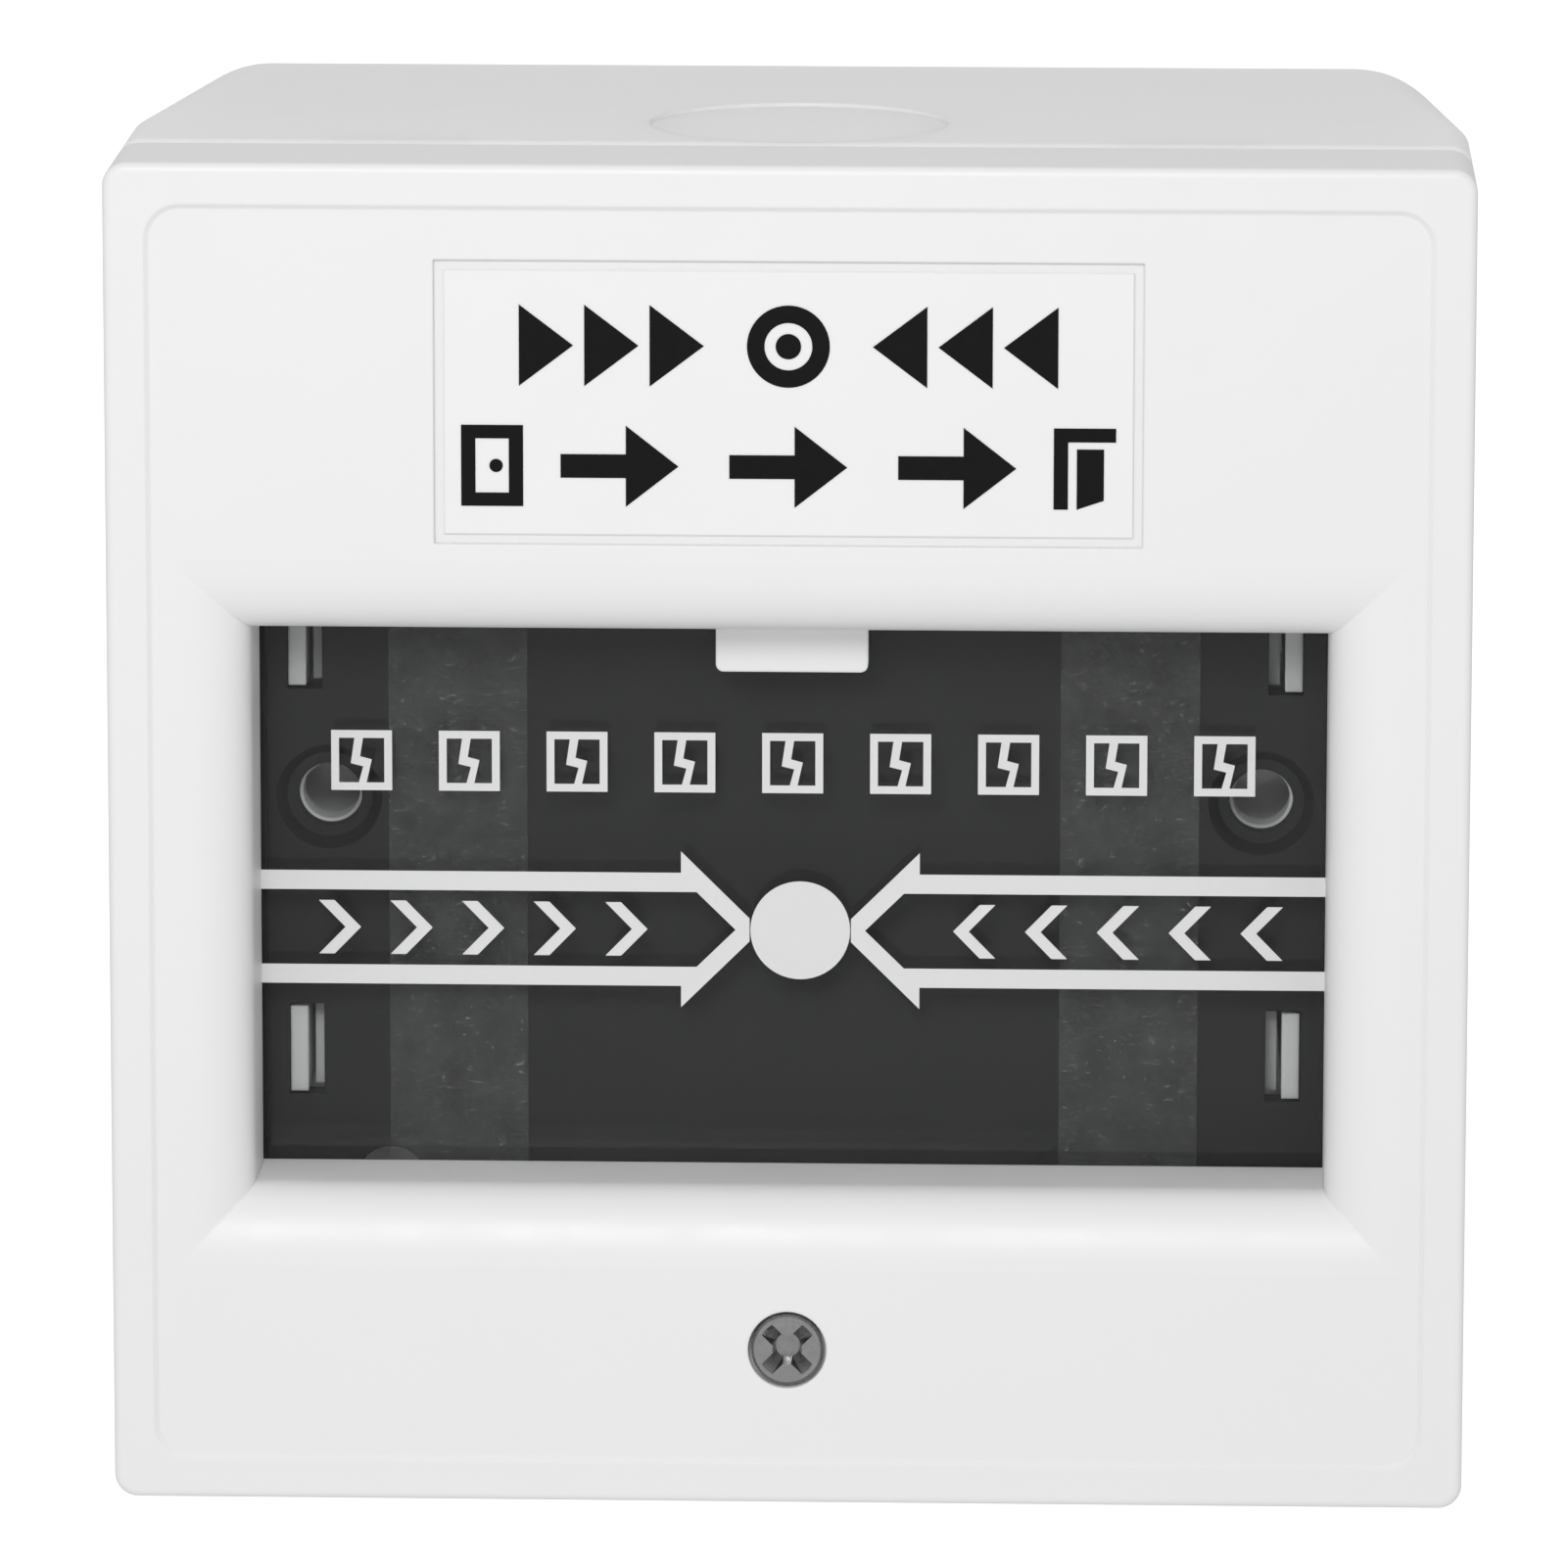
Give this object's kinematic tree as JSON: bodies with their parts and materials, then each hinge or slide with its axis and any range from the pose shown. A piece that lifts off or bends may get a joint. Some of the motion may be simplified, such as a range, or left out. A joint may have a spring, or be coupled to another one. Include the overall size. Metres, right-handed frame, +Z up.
{
  "type": "manual call point",
  "caption": "Square surface mounted break-glass call point with a glass press window, label plate and snap-in switch base.",
  "frame": {"origin": "centre of the wall face of the back box", "axes": "+Z up, +X to the viewer's right when facing the front, +Y into the wall; the front faces -Y"},
  "size_m": [0.086, 0.05, 0.086],
  "materials": {
    "white_cover": "fine satin moulded ABS",
    "label_white": "smooth printed plate",
    "black_ink": "printed ink",
    "clear_glass": "clear float glass",
    "white_ink": "printed ink",
    "safety_film": "clear film",
    "screw_steel": "zinc plated",
    "nylon": "natural nylon",
    "black_plate": "fine moulded ABS",
    "brass": "turned brass",
    "white_box": "fine satin moulded ABS",
    "board_green": "solder mask",
    "switch_black": "glass filled moulding",
    "switch_lid": "glass filled moulding",
    "tinned": "tin plated",
    "spring_bronze": "rolled strip",
    "steel": "drawn wire",
    "plunger_red": "moulded",
    "lever_steel": "rolled strip",
    "block_green": "moulded",
    "nickel": "nickel plated",
    "clamp_steel": "zinc plated"
  },
  "bodies": {
    "base": {"back_box": "white_box", "base_plate": "black_plate", "cover_insert": "brass", "circuit_board": "board_green", "board_screws": "screw_steel", "switch_case": "switch_black", "switch_lid": "switch_lid", "switch_pins": "tinned", "switch_blade": "spring_bronze", "lever_pin": "steel", "terminal_block": "block_green", "terminal_bars": "tinned"},
    "cover": {"front_cover": "white_cover", "label_plate": "label_white", "label_print": "black_ink", "glass_pane": "clear_glass", "pane_print": "white_ink", "film_strips": "safety_film"},
    "washer": {"screw_washer": "nylon"},
    "screw": {"cover_screw": "screw_steel"},
    "lever": {"switch_lever": "lever_steel"},
    "plunger": {"switch_plunger": "plunger_red"},
    "clamp_left": {"clamp_left": "clamp_steel"},
    "cage_left": {"cage_left": "nickel"},
    "clamp_middle": {"clamp_middle": "clamp_steel"},
    "cage_middle": {"cage_middle": "nickel"},
    "clamp_right": {"clamp_right": "clamp_steel"},
    "cage_right": {"cage_right": "nickel"}
  },
  "joints": [
    {"name": "cover_hinge", "type": "hinge", "parent": "base", "child": "cover", "pos_m": [0, -0.0396, 0.0424], "axis": [-1, 0, 0], "range_deg": [0, 90]},
    {"name": "screw_out", "type": "slide", "parent": "cover", "child": "washer", "axis": [0, -1, 0], "range_m": [0, 0.004]},
    {"name": "screw_turn", "type": "hinge", "parent": "washer", "child": "screw", "pos_m": [0, -0.0498, -0.033], "axis": [0, -1, 0], "range_deg": [0, 2881]},
    {"name": "plunger_slide", "type": "slide", "parent": "base", "child": "plunger", "axis": [0, 1, 0], "range_m": [0, 0.00046]},
    {"name": "lever_press", "type": "hinge", "parent": "base", "child": "lever", "pos_m": [0, -0.0324, 0.0316], "axis": [1, 0, 0], "range_deg": [0, 4], "stiffness_Nm_per_rad": 0.05, "springref_deg": -8.59},
    {"name": "cage_slide_left", "type": "slide", "parent": "base", "child": "cage_left", "axis": [0, 1, 0], "range_m": [0, 0.0015]},
    {"name": "clamp_turn_left", "type": "hinge", "parent": "base", "child": "clamp_left", "pos_m": [-0.00508, -0.0088, -0.0029], "axis": [0, -1, 0], "range_deg": [0, 1201]},
    {"name": "cage_slide_middle", "type": "slide", "parent": "base", "child": "cage_middle", "axis": [0, 1, 0], "range_m": [0, 0.0015]},
    {"name": "clamp_turn_middle", "type": "hinge", "parent": "base", "child": "clamp_middle", "pos_m": [0, -0.0088, -0.0029], "axis": [0, -1, 0], "range_deg": [0, 1201]},
    {"name": "cage_slide_right", "type": "slide", "parent": "base", "child": "cage_right", "axis": [0, 1, 0], "range_m": [0, 0.0015]},
    {"name": "clamp_turn_right", "type": "hinge", "parent": "base", "child": "clamp_right", "pos_m": [0.00508, -0.0088, -0.0029], "axis": [0, -1, 0], "range_deg": [0, 1201]}
  ],
  "couplings": [
    {"joint": "screw_turn", "follows": "screw_out", "rad_per_m": 12566},
    {"joint": "lever_press", "follows": "plunger_slide", "rad_per_m": 151.52},
    {"joint": "clamp_turn_left", "follows": "cage_slide_left", "rad_per_m": 13963},
    {"joint": "clamp_turn_middle", "follows": "cage_slide_middle", "rad_per_m": 13963},
    {"joint": "clamp_turn_right", "follows": "cage_slide_right", "rad_per_m": 13963}
  ]
}
